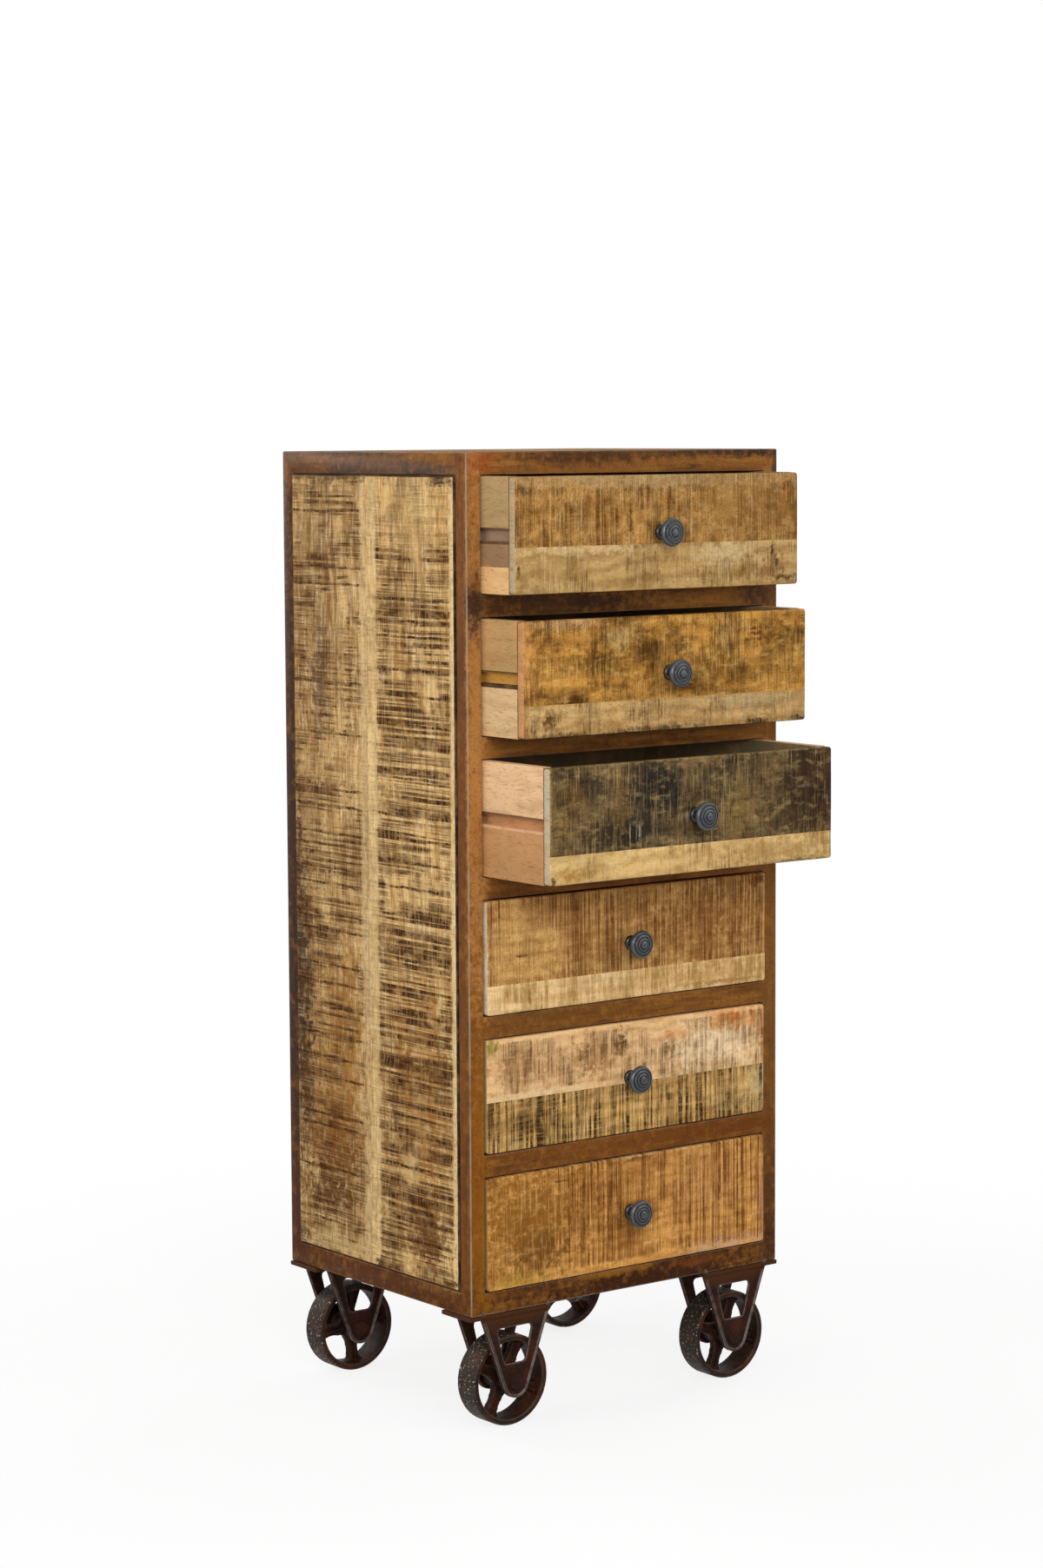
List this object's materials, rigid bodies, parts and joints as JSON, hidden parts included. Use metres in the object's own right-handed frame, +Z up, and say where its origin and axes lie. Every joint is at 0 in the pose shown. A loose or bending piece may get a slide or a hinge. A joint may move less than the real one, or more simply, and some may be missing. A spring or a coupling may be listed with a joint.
{
  "type": "rolling chest of drawers",
  "caption": "Tall narrow chest of wooden drawers in a rusty iron tube frame, with turned iron knobs, rolling on spoked cast-iron wheels held in fixed V-shaped brackets.",
  "frame": {"origin": "on the floor, below the middle of the box that the chest fills with its drawers pulled out as pictured", "axes": "+Z up, +X to the right as seen from the front, -Y out of the front, the way the drawers open"},
  "size_m": [0.455, 0.503, 1.093],
  "materials": {
    "frame_iron": "rusty brown patina, worn bright on the edges",
    "cast_iron": "dark, rusty and rough",
    "knob_iron": "dark grey, worn smooth",
    "side_wood": "rough sawn, oiled",
    "inner_wood": "plain, unfinished",
    "drawer_wood_1": "rough sawn, oiled, mid brown",
    "drawer_wood_2": "rough sawn, oiled, golden brown",
    "drawer_wood_3": "rough sawn, oiled, very dark brown",
    "drawer_wood_4": "rough sawn, oiled, brown",
    "drawer_wood_5": "rough sawn, oiled, pale",
    "drawer_wood_6": "rough sawn, oiled, orange brown"
  },
  "bodies": {
    "case": {"post_front_left": "frame_iron", "post_front_right": "frame_iron", "post_back_left": "frame_iron", "post_back_right": "frame_iron", "rail_front_top": "frame_iron", "rail_front_divider_1": "frame_iron", "rail_front_divider_2": "frame_iron", "rail_front_divider_3": "frame_iron", "rail_front_divider_4": "frame_iron", "rail_front_divider_5": "frame_iron", "rail_front_bottom": "frame_iron", "rail_back_top": "frame_iron", "rail_back_bottom": "frame_iron", "rail_left_top": "frame_iron", "rail_left_bottom": "frame_iron", "rail_right_top": "frame_iron", "rail_right_bottom": "frame_iron", "panel_left": "side_wood", "panel_right": "side_wood", "panel_top": "side_wood", "panel_back": "inner_wood", "panel_bottom": "inner_wood", "runner_left_1": "inner_wood", "runner_left_2": "inner_wood", "runner_left_3": "inner_wood", "runner_left_4": "inner_wood", "runner_left_5": "inner_wood", "runner_left_6": "inner_wood", "runner_right_1": "inner_wood", "runner_right_2": "inner_wood", "runner_right_3": "inner_wood", "runner_right_4": "inner_wood", "runner_right_5": "inner_wood", "runner_right_6": "inner_wood", "caster_bracket_front_left": "cast_iron", "caster_bracket_front_right": "cast_iron", "caster_bracket_back_left": "cast_iron", "caster_bracket_back_right": "cast_iron"},
    "drawer_1": {"drawer_front_1": "drawer_wood_1", "drawer_box_1": "inner_wood", "drawer_knob_1": "knob_iron"},
    "drawer_2": {"drawer_front_2": "drawer_wood_2", "drawer_box_2": "inner_wood", "drawer_knob_2": "knob_iron"},
    "drawer_3": {"drawer_front_3": "drawer_wood_3", "drawer_box_3": "inner_wood", "drawer_knob_3": "knob_iron"},
    "drawer_4": {"drawer_front_4": "drawer_wood_4", "drawer_box_4": "inner_wood", "drawer_knob_4": "knob_iron"},
    "drawer_5": {"drawer_front_5": "drawer_wood_5", "drawer_box_5": "inner_wood", "drawer_knob_5": "knob_iron"},
    "drawer_6": {"drawer_front_6": "drawer_wood_6", "drawer_box_6": "inner_wood", "drawer_knob_6": "knob_iron"},
    "wheel_front_left": {"caster_wheel_front_left": "cast_iron"},
    "wheel_front_right": {"caster_wheel_front_right": "cast_iron"},
    "wheel_back_left": {"caster_wheel_back_left": "cast_iron"},
    "wheel_back_right": {"caster_wheel_back_right": "cast_iron"}
  },
  "joints": [
    {"name": "drawer_1_slide", "type": "slide", "parent": "case", "child": "drawer_1", "axis": [0, -1, 0], "range_m": [-0.057, 0.173]},
    {"name": "drawer_2_slide", "type": "slide", "parent": "case", "child": "drawer_2", "axis": [0, -1, 0], "range_m": [-0.071, 0.159]},
    {"name": "drawer_3_slide", "type": "slide", "parent": "case", "child": "drawer_3", "axis": [0, -1, 0], "range_m": [-0.116, 0.114]},
    {"name": "drawer_4_slide", "type": "slide", "parent": "case", "child": "drawer_4", "axis": [0, -1, 0], "range_m": [-0.002, 0.228]},
    {"name": "drawer_5_slide", "type": "slide", "parent": "case", "child": "drawer_5", "axis": [0, -1, 0], "range_m": [0, 0.23]},
    {"name": "drawer_6_slide", "type": "slide", "parent": "case", "child": "drawer_6", "axis": [0, -1, 0], "range_m": [0, 0.23]},
    {"name": "wheel_front_left_spin", "type": "hinge", "parent": "case", "child": "wheel_front_left", "pos_m": [-0.162, -0.0795, 0.052], "axis": [0, 1, 0], "continuous": true},
    {"name": "wheel_front_right_spin", "type": "hinge", "parent": "case", "child": "wheel_front_right", "pos_m": [0.162, -0.0795, 0.052], "axis": [0, 1, 0], "continuous": true},
    {"name": "wheel_back_left_spin", "type": "hinge", "parent": "case", "child": "wheel_back_left", "pos_m": [-0.162, 0.2245, 0.052], "axis": [0, 1, 0], "continuous": true},
    {"name": "wheel_back_right_spin", "type": "hinge", "parent": "case", "child": "wheel_back_right", "pos_m": [0.162, 0.2245, 0.052], "axis": [0, 1, 0], "continuous": true}
  ]
}
